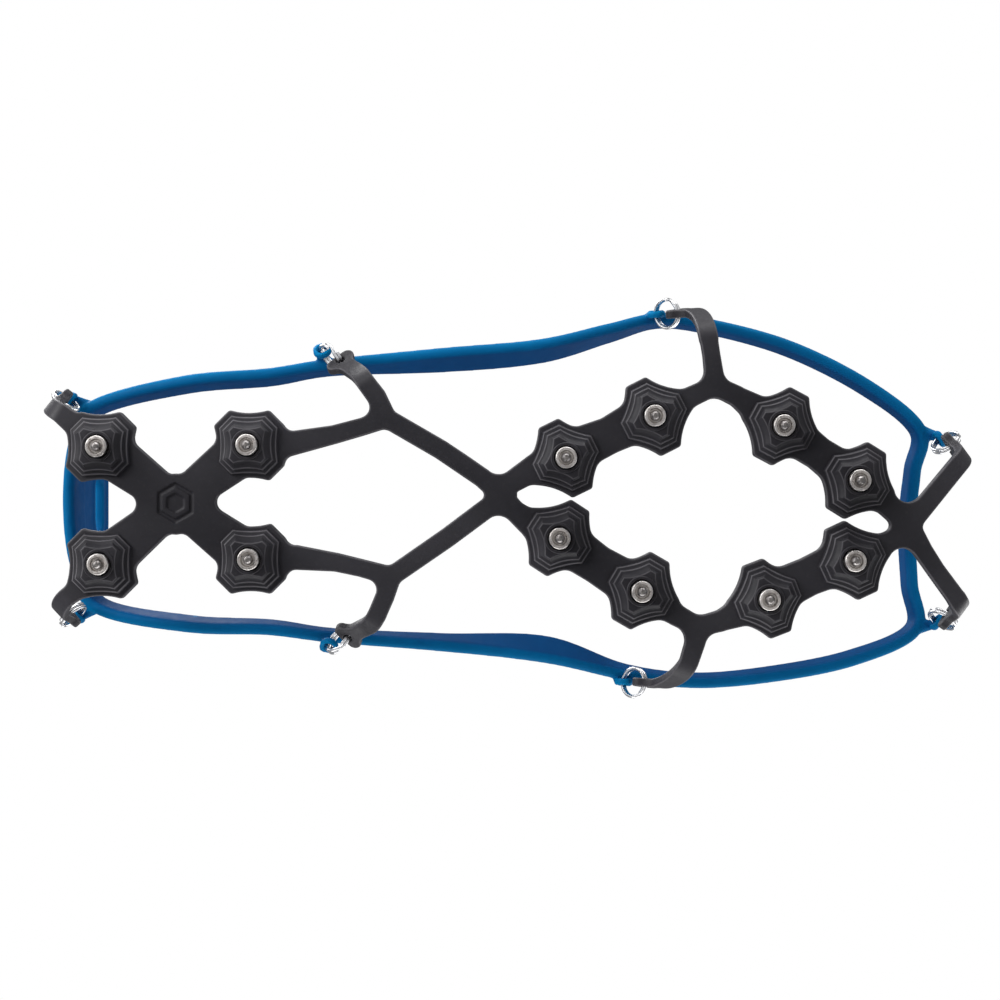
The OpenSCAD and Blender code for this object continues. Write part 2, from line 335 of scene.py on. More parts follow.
def with_bosses(d, names):
    """Adds the pad that each boss stands on."""
    outline = boss_outline(*PAD_SHAPE)
    for name in names:
        win = window(AT[name], 20)
        a = math.radians(BOSS_TURN[name])
        x, y = X[win] - AT[name][0], Y[win] - AT[name][1]
        x, y = x * math.cos(a) + y * math.sin(a), y * math.cos(a) - x * math.sin(a)
        d[win] = np.minimum(d[win], inside_polygon(x, y, outline) - PAD_GROWN)
    return d


def with_arms(d, names):
    """Adds the straight run of each arm, with the wider end that carries the eyelet."""
    for arm in ARMS:
        if arm.name in names:
            far = arm.end + arm.head * (arm.length + 3.2)
            eye = arm.flat_eye()
            side = np.array([arm.head[1], -arm.head[0]]) * 3
            plate = limb(wide(eye - side, 2.15), wide(eye, 2.45), wide(eye + side, 2.15))
            d = np.minimum(np.minimum(d, limb(wide(arm.end, 3.0), wide(far, 2.85))), plate)
    return d


def heel_side():
    """The heel plate with its four bosses and two arms, and the straps to the arch."""
    a, b, c, d = (AT[n] for n in HEEL)
    centre = (a + d) / 2
    parts = [limb(wide(n, 7.9), wide(centre, 5.4)) for n in (a, b, c, d)]
    parts += [
        limb((centre[0], -4.1, 3.6), (centre[0], 7.9, 3.6)),
        limb(wide(c, 6.5), (-68, -17, 3.9), (-54, -19.9, 2.95), (-45, -22.4, 2.8),
             wide(ARCH_OUT, 3)),
        limb(wide(ARCH_OUT, 3.1), (-20.6, -15.2, 3.1), (-14, -10.8, 3.1)),
        limb(wide(d, 6.5), (-66, 18.6, 3.9), (-53.4, 20.1, 2.95), (-45.5, 21.9, 2.8),
             wide(ARCH_IN, 3)),
        limb(wide(ARCH_IN, 3.1), (-18.5, 12.4, 3.15), (-13, 8.3, 3.15)),
        limb(wide(ARCH_OUT, 3.1), (-40.8, -31.9, 3.1), wide(ARM["arch_outer"][0], 3.0)),
        limb(wide(ARCH_IN, 3.1), (-38.1, 30.9, 3.0), wide(ARM["arch_inner"][0], 2.95)),
        limb((-129, -18, 5.2), (-135.3, -23.0, 3.5), wide(ARM["heel_outer"][0], 3.1)),
        limb((-129, 24, 5.0), (-134.4, 28.6, 3.3), wide(ARM["heel_inner"][0], 3.0)),
    ]
    whole = with_bosses(np.minimum.reduce(parts), HEEL)
    return closing(with_arms(whole, ["arch_outer", "arch_inner", "heel_outer", "heel_inner"]), 3)


def hub_side():
    """The struts that cross under the arch, with the tighter corner on their heel side."""
    parts = [
        limb((-20.6, -15.2, 3.1), (-7.5, -6.3, 3.1), wide(HUB, 3.3)),
        limb((-18.5, 12.4, 3.15), (-4.4, 1.9, 3.2), wide(HUB, 3.3)),
        limb(wide(HUB, 3.6), (HUB[0] + 1.5, HUB[1], 3.4)),
    ]
    return closing(np.minimum.reduce(parts), 1.6)


def outer_side():
    """The forefoot's outer chain of four bosses, with its two arms."""
    a, b, c, d = (AT[n] for n in OUTER)
    parts = [
        limb((-14, -10.8, 3.1), (-7.5, -6.3, 3.1), wide(HUB, 3.2)),
        limb(wide(HUB, 3.3), (1, -4.6, 3.5), (9, -9.6, 4.3), (14, -11.5, 6)),
        limb((a[0] - 0.4, a[1] - 1, 7.2), (32.2, -19.6, 5.9), (b[0] - 0.4, b[1] - 1, 7.2)),
        limb(wide(b, 5.6), (58, -31.8, 3.3), wide(BALL_OUT, 3.1), (72, -32, 3.3),
             (80.5, -26.3, 5.2)),
        limb(wide(c, 6.6), (97.8, -14, 5.3), wide(d, 6.6)),
        limb(wide(d, 6), (119.2, 2.6, 3.2), wide(TOE, 3.3)),
        limb(wide(BALL_OUT, 3.2), (65, -39, 3), (64.2, -45, 2.75),
             wide(ARM["ball_outer"][0], 2.8)),
        limb(wide(TOE, 3.3), (132.6, 0.5, 3.1), wide(ARM["toe_outer"][0], 3)),
    ]
    whole = with_bosses(np.minimum.reduce(parts), OUTER)
    return closing(with_arms(whole, ["ball_outer", "toe_outer"]), 4.2)


def inner_side():
    """The forefoot's inner chain of four bosses, with its two arms."""
    a, b, c, d = (AT[n] for n in INNER)
    parts = [
        limb((-13, 8.3, 3.15), (-4.4, 1.9, 3.2), wide(HUB, 3.2)),
        limb(wide(HUB, 3.3), (2.5, 4.0, 3.4), (9, 9.0, 4.6), (13, 11, 6)),
        limb(wide(a, 7.2), (28.6, 20.8, 6.2), wide(b, 7.2)),
        limb(wide(b, 5.6), (53, 36.5, 3.5), wide(BALL_IN, 3.1), (67, 38.5, 3.4),
             (76.5, 34.3, 5.4)),
        limb((c[0] - 0.4, c[1] - 0.6, 7), (94.6, 24.6, 6.1), (d[0] - 0.4, d[1] - 0.6, 7)),
        limb(wide(d, 6), (116, 15.5, 3.6), (120.6, 12.7, 2.8), wide(TOE, 3.2)),
        limb(wide(BALL_IN, 3.4), (59.2, 45, 3.2), wide(ARM["ball_inner"][0], 3)),
        limb(wide(TOE, 3.3), (130.5, 16.5, 3), (134.5, 22.5, 2.8),
             wide(ARM["toe_inner"][0], 2.9)),
    ]
    whole = with_bosses(np.minimum.reduce(parts), INNER)
    return closing(with_arms(whole, ["ball_inner", "toe_inner"]), 4.2)


def hexagon(x, y, across):
    """Distance to a six-sided outline of that width across its flats."""
    d = np.abs(x) - across / 2
    for a in (60, 120):
        c, s = math.cos(math.radians(a)), math.sin(math.radians(a))
        d = np.maximum(d, np.abs(x * c + y * s) - across / 2)
    return d


def slab(flat):
    """The web's flat layer with its bores, flange seats, eyelets and heel mark."""
    z_cells = np.arange(WEB_LOW - 0.77, WEB_TOP + 0.9, CELL)
    vol = np.empty(flat.shape + (len(z_cells),), np.float32)
    for k, z in enumerate(z_cells):
        vol[:, :, k] = round_both(flat, abs(z - MID_Z) - (WEB_TOP - WEB_LOW) / 2, 0.45)
    for at in AT.values():
        win = window(at, 8)
        r = np.hypot(X[win] - at[0], Y[win] - at[1])
        for k, z in enumerate(z_cells):
            bore = np.minimum(r - BORE_R, np.maximum(r - SEAT_R, WEB_TOP - SEAT_DEPTH - z))
            vol[win][:, :, k] = np.maximum(vol[win][:, :, k], -bore)
    for at in (arm.flat_eye() for arm in ARMS):
        win = window(at, 4)
        hole = np.hypot(X[win] - at[0], Y[win] - at[1]) - EYELET_R
        for k, z in enumerate(z_cells):
            flare = max(0.0, 0.4 - min(z - WEB_LOW, WEB_TOP - z)) ** 2
            vol[win][:, :, k] = np.maximum(vol[win][:, :, k], -hole + flare)
    at = (AT["heel_rear_outer"] + AT["heel_front_inner"]) / 2
    win = window(at, 8)
    x, y = X[win] - at[0], Y[win] - at[1]
    cut = np.minimum(np.maximum(hexagon(x, y, 11), -hexagon(x, y, 8.8)), hexagon(x, y, 5.4))
    for k, z in enumerate(z_cells):
        sunk = round_both(cut, z - WEB_LOW - 0.5, 0.1)
        vol[win][:, :, k] = np.maximum(vol[win][:, :, k], -sunk)
    return field_mesh(soften(vol, 0.15), (x_cells[0], y_cells[0], z_cells[0]), CELL)


def slab_edges(flat, pts):
    """How near each point is to a rounded outer edge of the slab, from 0 to 1: how much painted
    highlight it gets.
    """
    i = np.clip((pts[:, 0] - x_cells[0]) / CELL, 0, flat.shape[0] - 2)
    j = np.clip((pts[:, 1] - y_cells[0]) / CELL, 0, flat.shape[1] - 2)
    a, b = i.astype(int), j.astype(int)
    u, v = i - a, j - b
    side = (flat[a, b] * (1 - u) * (1 - v) + flat[a + 1, b] * u * (1 - v)
            + flat[a, b + 1] * (1 - u) * v + flat[a + 1, b + 1] * u * v)
    face = np.minimum(np.abs(pts[:, 2] - WEB_LOW), np.abs(WEB_TOP - pts[:, 2]))
    return np.clip(1.35 - (np.abs(side) + face) / 0.42, 0, 1)


# Rings of one boss from its foot to its tip: corner, flat and cut of the outline, how far it is
# drawn in, height, and how much painted highlight the ring gets where it lies on a moulded edge
BOSS_RINGS = [
    (10.4, 8.9, 2.8, -0.10, 7.30, 0), (10.4, 8.9, 2.8, -0.10, 7.00, 0),
    (10.4, 8.9, 2.8, 0.00, 6.88, 0), (10.4, 8.9, 2.8, 0.20, 6.10, 0),
    (10.4, 8.9, 2.8, 0.24, 5.96, 1), (10.4, 8.9, 2.8, 0.32, 5.80, 1),
    (10.4, 8.9, 2.8, 0.50, 5.72, 1), (10.4, 8.9, 2.8, 0.66, 5.70, 0),
    (8.95, 7.45, 2.4, -0.16, 5.62, 0), (8.95, 7.45, 2.4, 0.00, 5.52, 0),
    (8.95, 7.45, 2.4, 0.14, 4.95, 0), (8.95, 7.45, 2.4, 0.18, 4.82, 1),
    (8.95, 7.45, 2.4, 0.26, 4.68, 1), (8.95, 7.45, 2.4, 0.42, 4.61, 1),
    (8.95, 7.45, 2.4, 0.58, 4.58, 0), (7.65, 6.1, 1.9, 0.0, 4.40, 0),
    (7.4, 5.6, 1.45, 0.0, 3.80, 0), (7.15, 5.1, 1.05, 0.0, 3.38, 0),
    (7.1, 5.05, 1.0, 0.05, 3.28, 0.7), (7.05, 5.0, 0.95, 0.22, 3.20, 0.7),
    (7.0, 4.95, 0.9, 0.36, 3.18, 0),
]
# Then in over the rim and down round the stud: radius, height and the same share of painted
# highlight
RIM_RINGS = [
    (4.86, 3.16, 0), (4.80, 3.06, 0), (4.74, 2.90, 0.25), (4.62, 2.78, 0.25), (4.50, 2.75, 0),
    (4.10, 2.75, 0), (3.95, 2.80, 0.3), (3.86, 2.92, 0), (3.82, 3.96, 0), (3.30, 4.05, 0),
    (3.30, 7.30, 0),
]


def boss_mesh(name):
    """One stepped boss, and how much painted highlight each of its points gets."""
    rings, light = [], []
    for corner, flat, cut, inset, z, edge in BOSS_RINGS:
        xy = boss_outline(corner - inset, flat - inset, cut - 0.5 * inset, 17)
        rings.append(np.column_stack([xy, np.full(len(xy), z)]))
        light.append(np.full(len(xy), 0.75 * edge, float))
    angles = np.arctan2(rings[-1][:, 1], rings[-1][:, 0])
    for r, z, edge in RIM_RINGS:
        level = np.full(len(angles), z)
        rings.append(np.column_stack([r * np.cos(angles), r * np.sin(angles), level]))
        light.append(np.full(len(angles), edge, float))
    pts, faces = tube(rings, closed=True)
    a = math.radians(BOSS_TURN[name])
    x, y = pts[:, 0].copy(), pts[:, 1].copy()
    pts[:, 0] = AT[name][0] + x * math.cos(a) - y * math.sin(a)
    pts[:, 1] = AT[name][1] + x * math.sin(a) + y * math.cos(a)
    return pts, [f[::-1] for f in faces], np.concatenate(light)


def web():
    flat = np.minimum(np.minimum(heel_side(), hub_side()), np.minimum(outer_side(), inner_side()))
    flat = smooth_min(flat, limb(wide(TOE, 3.4), (TOE[0] + 0.5, TOE[1], 3.4)), 0.8)
    # The corners where the two chains meet, at the rear end of the toe crossing
    wider, n = window(TOE, 10), int(3 / CELL)
    inner = tuple(slice(w.start + n, w.stop - n) for w in wider)
    flat[inner] = closing(flat[wider], 1.9)[n:-n, n:-n]
    pts, faces = slab(flat)
    light = slab_edges(flat, pts)
    for arm in ARMS:
        arm.bend(pts)
    pts, faces, light = [pts], [faces], [light]
    start = len(pts[0])
    for name in AT:
        p, f, e = boss_mesh(name)
        pts.append(p)
        faces.append(np.asarray(f) + start)
        light.append(e)
        start += len(p)
    ob = make_mesh("rubber_web", np.concatenate(pts), np.concatenate(faces))
    # Strength of the painted highlight along the web's moulded edges
    mark(ob, "edge", np.concatenate(light))
    ob.data.set_sharp_from_angle(angle=math.radians(42))
    return ob


web_ob = web()

# ---------------------------------------------------------------- harness

# The band from the heel along the outer side and back: x, y, z, width and lean in degrees
BAND = [
    (-146, 2, 46, 16, 0), (-144.3, -17, 45, 15, 0), (-138, -30, 43, 12, 5),
    (-106, -37.5, 35, 11, 12), (-78, -39.8, 33, 10, 15), (-58, -43, 33, 10, 12),
    (-22, -45.4, 33, 12, 24), (11, -48.4, 33.5, 12, 24), (34, -54.6, 36, 10, 18),
    (51, -59.2, 40, 9, 8), (70, -57, 41.5, 9, 8), (95, -50, 42, 9, 10), (120, -37.5, 42, 9, 10),
    (138, -23, 42.5, 9, 5), (138, -9, 48.5, 11, 0), (137, 9.5, 51.5, 12, 0),
    (137, 29, 48.5, 11, 0), (136.5, 44, 42.5, 9, 5), (116, 53.5, 42, 9, 10),
    (90, 58.8, 42, 9, 10), (64, 61, 41.5, 9, 8), (40, 58, 39, 9, 12), (13, 50, 35, 12, 32),
    (-22, 47.4, 33, 10, 14), (-57, 45.2, 33, 9, 5), (-78, 42.5, 33, 9, 10),
    (-105, 41.5, 35, 10, 12), (-136.5, 36, 43, 12, 5), (-143.8, 21, 45, 15, 0),
]
# Half the band's thickness, and the rounding of its edges
BAND_HALF, BAND_ROUND = 2.0, 1.7
# Which point of the band each arm's lug hangs from
HANG_FROM = {"heel_outer": 2, "heel_inner": 27, "arch_outer": 5, "arch_inner": 24,
             "ball_outer": 9, "ball_inner": 21, "toe_outer": 13, "toe_inner": 17}


def band_line(steps=10):
    """A smooth closed curve through the band's points."""
    p = np.array(BAND, float)
    a, b, c, d = np.roll(p, 1, 0), p, np.roll(p, -1, 0), np.roll(p, -2, 0)
    out = []
    for t in np.arange(steps) / steps:
        out.append(0.5 * (2 * b + (c - a) * t + (2 * a - 5 * b + 4 * c - d) * t * t
                          + (3 * b - a - 3 * c + d) * t**3))
    return np.stack(out, 1).reshape(-1, 5)


def band_section(half):
    """Points round the band's section, with rounded edges."""
    x, y, r, pts = BAND_HALF - BAND_ROUND, half - BAND_ROUND, BAND_ROUND, []
    for q, (sx, sy) in enumerate([(1, 1), (-1, 1), (-1, -1), (1, -1)]):
        for k in range(5):
            a = math.radians(90 * q + 22.5 * k)
            pts.append((sx * x + r * math.cos(a), sy * y + r * math.sin(a)))
    return pts


def band_mesh():
    line = band_line()
    ahead = np.roll(line, -1, 0)[:, :3] - np.roll(line, 1, 0)[:, :3]
    rings = []
    for p, way in zip(line, ahead):
        u = unit(way)
        level = unit(np.cross([0, 0, 1], u))
        up = np.cross(u, level)
        lean = math.radians(p[4])
        w = math.cos(lean) * level - math.sin(lean) * up
        v = np.cross(u, w)
        rings.append([p[:3] + w * a + v * b for a, b in band_section(p[3] / 2)])
    return tube(rings, closed=True)


def rod_mesh(p, q, r0, r1, steps=24):
    """A closed rod from p to q that widens from r0 to r1."""
    way = unit(q - p)
    side = square_to([0.3, 0.5, 0.8], way)
    other = np.cross(way, side)
    angles = np.linspace(0, 2 * math.pi, steps, endpoint=False)
    rings = []
    for t in np.linspace(0, 1, 7):
        r = r0 + (r1 - r0) * t**1.6
        rings.append([p + (q - p) * t + r * (math.cos(a) * side + math.sin(a) * other)
                      for a in angles])
    pts, faces = tube(rings)
    n = len(pts)
    for j in range(steps):
        k = (j + 1) % steps
        faces.append([n, k, j])
        faces.append([n + 1, n - steps + j, n - steps + k])
    return np.concatenate([pts, [p], [q]]), faces


def lug_ring_mesh(arm):
    """The rounded eye that a link ring passes through."""
    pts, n, m = [], 40, 16
    for i in range(n):
        a = 2 * math.pi * i / n
        ray = math.cos(a) * arm.u + math.sin(a) * arm.v
        for j in range(m):
            b = 2 * math.pi * j / m
            pts.append(arm.lug + ray * (2.3 + 0.86 * math.cos(b)) + arm.w * 1.3 * math.sin(b))
    faces = []
    for i in range(n):
        here, ahead = i * m, (i + 1) % n * m
        faces += [[here + j, ahead + j, ahead + (j + 1) % m, here + (j + 1) % m] for j in range(m)]
    return np.array(pts), faces


def tab_mesh():
    """The heel pull tab: a plate with a finger slot and a raised border, from a distance field."""
    cell, rise, corner = 0.5, 40.0, 8
    x, y, z = np.arange(-4, 4, cell), np.arange(-18, 18, cell), np.arange(-6, 43, cell)
    yy, zz = np.meshgrid(y, z, indexing="ij")
    half = 15 - 0.9 * np.clip((20 - zz) / 20, 0, 1)
    plate = round_both(np.abs(yy) - half, np.abs(zz - rise / 2 + 2) - rise / 2 - 2, corner)
    slot = np.hypot(yy - np.clip(yy, -5, 5), zz - 27) - 5
    flat = np.maximum(plate, -slot)
    border = np.minimum(np.abs(plate + 1.5) - 1.4, np.abs(slot - 1.4) - 1.3)
    border = np.maximum(border, np.maximum(plate, -slot))
    vol = np.empty((len(x),) + flat.shape, np.float32)
    for k, xv in enumerate(x):
        body = round_both(flat, abs(xv) - 1.25, 0.6)
        edge = round_both(border, abs(xv) - 1.75, 0.6)
        vol[k] = smooth_min(body, edge, 0.6)
    pts, quads = field_mesh(vol, (x[0], y[0], z[0]), cell)
    return pts + np.array(BAND[0][:3]), quads.tolist()


def harness():
    """The band, tab and lugs, joined into one moulding."""
    parts = [band_mesh(), tab_mesh()]
    for arm in ARMS:
        parts.append(lug_ring_mesh(arm))
        hang = np.array(BAND[HANG_FROM[arm.name]][:3], float)
        parts.append(rod_mesh(arm.lug + 2.9 * arm.u, hang, 1.75, 2.4))
    faces, start = [], 0
    for p, f in parts:
        faces += [[start + i for i in face] for face in f]
        start += len(p)
    me = bpy.data.meshes.new("harness_parts")
    me.from_pydata((np.concatenate([p for p, f in parts]) * MM).tolist(), [], faces)
    me.update()
    ob = bpy.data.objects.new("stretch_harness", me)
    bpy.context.scene.collection.objects.link(ob)
    remesh = ob.modifiers.new("remesh", "REMESH")
    remesh.mode = "VOXEL"
    remesh.voxel_size = HARNESS_CELL * MM
    relax = ob.modifiers.new("relax", "SMOOTH")
    relax.factor, relax.iterations = 0.5, 6
    me = bpy.data.meshes.new_from_object(ob.evaluated_get(bpy.context.evaluated_depsgraph_get()))
    ob.modifiers.clear()
    ob.data = me
    me.polygons.foreach_set("use_smooth", np.ones(len(me.polygons), bool))
    me.update()
    # Where the band's colour gets painted shade: on the faces that look in at the shoe
    mark(ob, "inward", facing_inward(me))
    return ob


def facing_inward(me):
    """1 on the faces of the band that look in at the shoe, 0 on those that look out: where painted
    shade darkens the band.
    """
    pts, normals = np.empty(3 * len(me.vertices)), np.empty(3 * len(me.vertices))
    me.vertices.foreach_get("co", pts)
    me.vertices.foreach_get("normal", normals)
    pts, normals = pts.reshape(-1, 3) / MM, normals.reshape(-1, 3)
    line = band_line()[:, :2]
    along = np.roll(line, -1, 0) - np.roll(line, 1, 0)
    inward = np.stack([-along[:, 1], along[:, 0]], 1) / np.linalg.norm(along, axis=1)[:, None]
    nearest = np.concatenate([((chunk[:, None, :2] - line) ** 2).sum(2).argmin(1)
                              for chunk in np.array_split(pts, 40)])
    return 0.5 + 0.5 * (normals[:, :2] * inward[nearest]).sum(1)


harness_ob = harness()

# ---------------------------------------------------------------- link rings

# Radius of the wire, half the step between its two turns, how far it runs round, and where it
# starts and crosses over, in degrees
WIRE, TURN_GAP, WIRE_RUN, WIRE_START, CROSS_FROM, CROSS_OVER = 0.53, 0.54, 695, 128, 325, 45


def ring_mesh(arm):
    """A split ring of two turns of wire, with both ends rounded."""
    total = math.radians(WIRE_RUN)
    rings = []
    for a in np.linspace(0, total, 150):
        left = min(a, total - a) * RING_R / WIRE
        r = WIRE * (1 if left > 1 else math.sqrt(max(0.02, 1 - (1 - left) ** 2)))
        crossed = min(max((math.degrees(a) - CROSS_FROM) / CROSS_OVER, 0), 1)
        lift = TURN_GAP * (2 * (3 * crossed**2 - 2 * crossed**3) - 1)
        th = a + math.radians(WIRE_START)
        ray = math.cos(th) * arm.u + math.sin(th) * arm.w
        at = arm.ring + RING_R * ray + lift * arm.v
        rings.append([at + r * (math.cos(b) * ray + math.sin(b) * arm.v)
                      for b in np.linspace(0, 2 * math.pi, 12, endpoint=False)])
    return tube(rings)


ring_obs = [make_mesh("split_ring_" + arm.name, *ring_mesh(arm)) for arm in ARMS]

# ---------------------------------------------------------------- studs


def lathe(name, at, profile, sides):
    """A turned piece on an upright axis; each point of the profile is a radius and a height."""
    rings = []
    for r, z in profile:
        rings.append([(at[0] + r * math.cos(a), at[1] + r * math.sin(a), z)
                      for a in np.linspace(0, 2 * math.pi, sides, endpoint=False)])
    pts, faces = tube(rings)
    ob = make_mesh(name, pts, [f[::-1] for f in faces])
    ob.data.set_sharp_from_angle(angle=math.radians(38))
    return ob


def arc(cx, cz, r, a0, a1, n):
    return [(cx + r * math.cos(math.radians(a)), cz + r * math.sin(math.radians(a)))
            for a in np.linspace(a0, a1, n)]


# The collar: its bore, the dished face round the pin, the rolled lip, the groove and the flange
BODY = ([(1.46, 9.9), (1.46, 2.35), (1.75, 2.2), (1.98, 2.2), (2.12, 2.06), (2.2, 1.55)]
        + arc(2.45, 1.6, 0.22, 180, 270, 4) + [(2.72, 1.4)] + arc(2.9, 1.85, 0.45, 275, 360, 6)
        + [(3.35, 2.6), (3.35, 3.4), (3.22, 3.5), (3.22, 3.8), (3.35, 3.9), (3.35, 8.78)]
        + [(3.6, 8.8)] + arc(5.8, 9.0, 0.2, 270, 360, 4) + arc(5.8, 9.8, 0.2, 0, 90, 4)
        + [(1.7, 10.0), (1.46, 9.9)])
# The pin: its domed tip, its shoulder and its shank
PIN = ([(0.001, 0.0)] + [(0.9 * math.sin(math.radians(a)), 0.28 * (1 - math.cos(math.radians(a))))
                         for a in range(15, 91, 15)]
       + [(1.18, 0.55), (1.3, 0.85), (1.4, 1.15), (1.45, 1.5), (1.45, 7.9), (0.001, 8.0)])

stud_obs, pin_obs = [], []
for name, at in AT.items():
    stud_obs.append(lathe("collar_" + name, at, BODY, 64))
    pin_obs.append(lathe("tip_" + name, at, PIN, 48))

# ---------------------------------------------------------------- materials


class Nodes:
    """Short ways to add shader nodes to one material."""

    def __init__(self, name):
        self.mat = bpy.data.materials.new(name)
        self.mat.use_nodes = True
        self.tree = self.mat.node_tree
        self.bsdf = self.tree.nodes["Principled BSDF"]
        self.coord = self.tree.nodes.new("ShaderNodeTexCoord").outputs["Object"]

    def link(self, a, b):
        self.tree.links.new(a, b)

    def noise(self, scale, detail, rough=0.5, vector=None):
        n = self.tree.nodes.new("ShaderNodeTexNoise")
        n.inputs["Scale"].default_value = scale
        n.inputs["Detail"].default_value = detail
        n.inputs["Roughness"].default_value = rough
        self.link(vector or self.coord, n.inputs["Vector"])
        return n.outputs["Fac"]

    def stretched(self, x, y, z):
        n = self.tree.nodes.new("ShaderNodeMapping")
        n.inputs["Scale"].default_value = (x, y, z)
        self.link(self.coord, n.inputs["Vector"])
        return n.outputs["Vector"]

    def span(self, value, lo, hi, out_lo, out_hi):
        n = self.tree.nodes.new("ShaderNodeMapRange")
        n.inputs["From Min"].default_value, n.inputs["From Max"].default_value = lo, hi
        n.inputs["To Min"].default_value, n.inputs["To Max"].default_value = out_lo, out_hi
        self.link(value, n.inputs["Value"])
        return n.outputs["Result"]

    def mix(self, fac, a, b):
        """A colour between a, which may be a socket, and b."""
        n = self.tree.nodes.new("ShaderNodeMix")
        n.data_type = "RGBA"
        for socket, value in ((n.inputs[6], a), (n.inputs[7], b)):
            if isinstance(value, tuple):
                socket.default_value = value + (1.0,)
            else:
                self.link(value, socket)
        self.link(fac, n.inputs[0])
        return n.outputs[2]

    def add(self, a, b, op="ADD"):
        """The sum of two values, or what another operation makes of them."""
        n = self.tree.nodes.new("ShaderNodeMath")
        n.operation = op
        for socket, value in zip(n.inputs, (a, b)):
            if isinstance(value, (int, float)):
                socket.default_value = value
            else:
                self.link(value, socket)
        return n.outputs[0]

    def attribute(self, name):
        n = self.tree.nodes.new("ShaderNodeAttribute")
        n.attribute_name = name
        return n.outputs["Fac"]

    def edge(self, lo, hi):
        """High on outer edges of the shape."""
        g = self.tree.nodes.new("ShaderNodeNewGeometry")
        return self.span(g.outputs["Pointiness"], lo, hi, 0.0, 1.0)

    def bump(self, height, strength, distance):
        n = self.tree.nodes.new("ShaderNodeBump")
        n.inputs["Strength"].default_value = strength
        n.inputs["Distance"].default_value = distance
        self.link(height, n.inputs["Height"])
        self.link(n.outputs["Normal"], self.bsdf.inputs["Normal"])


def web_rubber():
    m = Nodes("web_rubber")
    cloud = m.span(m.noise(60, 4), 0.35, 0.65, 0.0, 1.0)
    base = m.mix(cloud, (0.0158, 0.0148, 0.0188), (0.0214, 0.0199, 0.0250))
    dust = m.span(m.noise(900, 3, 0.6), 0.56, 0.72, 0.0, 0.3)
    base = m.mix(dust, base, (0.036, 0.034, 0.038))
    # Painted highlight: a lighter colour along the moulded edges, where the edge value is high,
    # broken up by noise
    painted_edge_highlight = m.add(m.attribute("edge"), m.span(m.noise(160, 3), 0.3, 0.7, 0.5, 1.0), "MULTIPLY")
    base = m.mix(painted_edge_highlight, base, (0.145, 0.138, 0.150))
    m.link(base, m.bsdf.inputs["Base Color"])
    m.link(m.span(m.noise(350, 4), 0.3, 0.7, 0.46, 0.6), m.bsdf.inputs["Roughness"])
    m.bsdf.inputs["Specular IOR Level"].default_value = 0.3
    grain = m.add(m.noise(2600, 2), m.add(m.noise(7000, 1), 0.5, "MULTIPLY"))
    m.bump(grain, 0.22, 0.00006)
    return m.mat


def harness_rubber():
    m = Nodes("harness_rubber")
    cloud = m.span(m.noise(45, 4), 0.35, 0.65, 0.0, 1.0)
    # Painted shade: the faces that look in at the shoe take a darker copy of the blue, and the
    # outer faces take the lighter one
    base = m.mix(cloud, (0.0, 0.104, 0.256), (0.0, 0.124, 0.297))
    painted_shade_blue = m.mix(cloud, (0.0, 0.041, 0.145), (0.0, 0.051, 0.172))
    base = m.mix(m.span(m.attribute("inward"), 0.1, 0.9, 0.0, 1.0), base, painted_shade_blue)
    # Painted highlight: a lighter blue on the band's convex edges
    base = m.mix(m.add(m.edge(0.51, 0.55), 0.45, "MULTIPLY"), base, (0.0, 0.22, 0.47))
    m.link(base, m.bsdf.inputs["Base Color"])
    m.link(m.span(m.noise(260, 4), 0.3, 0.7, 0.48, 0.6), m.bsdf.inputs["Roughness"])
    m.bsdf.inputs["IOR"].default_value = 1.3
    m.bsdf.inputs["Specular IOR Level"].default_value = 0.1
    m.bsdf.inputs["Subsurface Weight"].default_value = 0.05
    m.bsdf.inputs["Subsurface Radius"].default_value = (0.0006, 0.0014, 0.003)
    m.bsdf.inputs["Subsurface Scale"].default_value = 1.0
    m.bump(m.add(m.noise(1800, 2), m.add(m.noise(220, 3), 1.5, "MULTIPLY")), 0.12, 0.00008)
    return m.mat


def stud_metal():
    m = Nodes("stud_metal")
    rubbed = m.noise(1, 3, 0.6, m.stretched(600, 600, 4500))
    base = m.mix(m.span(rubbed, 0.35, 0.65, 0.0, 1.0), (0.78, 0.735, 0.70), (0.93, 0.895, 0.865))
    stain = m.span(m.noise(420, 3), 0.56, 0.70, 0.0, 0.5)
    base = m.mix(stain, base, (0.45, 0.41, 0.385))
    m.link(base, m.bsdf.inputs["Base Color"])
    m.bsdf.inputs["Metallic"].default_value = 1.0
    m.link(m.span(m.noise(900, 3), 0.3, 0.7, 0.24, 0.42), m.bsdf.inputs["Roughness"])
    m.bump(rubbed, 0.12, 0.00004)
    return m.mat


def carbide():
    m = Nodes("carbide")
    speck = m.span(m.noise(3500, 3, 0.6), 0.4, 0.65, 0.0, 1.0)
    base = m.mix(speck, (0.30, 0.285, 0.28), (0.46, 0.44, 0.43))
    m.link(base, m.bsdf.inputs["Base Color"])
    m.bsdf.inputs["Metallic"].default_value = 1.0
    m.link(m.span(m.noise(1500, 3), 0.3, 0.7, 0.28, 0.46), m.bsdf.inputs["Roughness"])
    m.bump(m.noise(5200, 3), 0.15, 0.00004)
    return m.mat


def ring_steel():
    m = Nodes("ring_steel")
    drawn = m.noise(1, 3, 0.55, m.stretched(900, 900, 900))
    base = m.mix(m.span(drawn, 0.35, 0.65, 0.0, 1.0), (0.66, 0.66, 0.67), (0.82, 0.82, 0.83))
    m.link(base, m.bsdf.inputs["Base Color"])
    m.bsdf.inputs["Metallic"].default_value = 1.0
    m.link(m.span(m.noise(1200, 3), 0.3, 0.7, 0.14, 0.28), m.bsdf.inputs["Roughness"])
    m.bump(drawn, 0.08, 0.00003)
    return m.mat


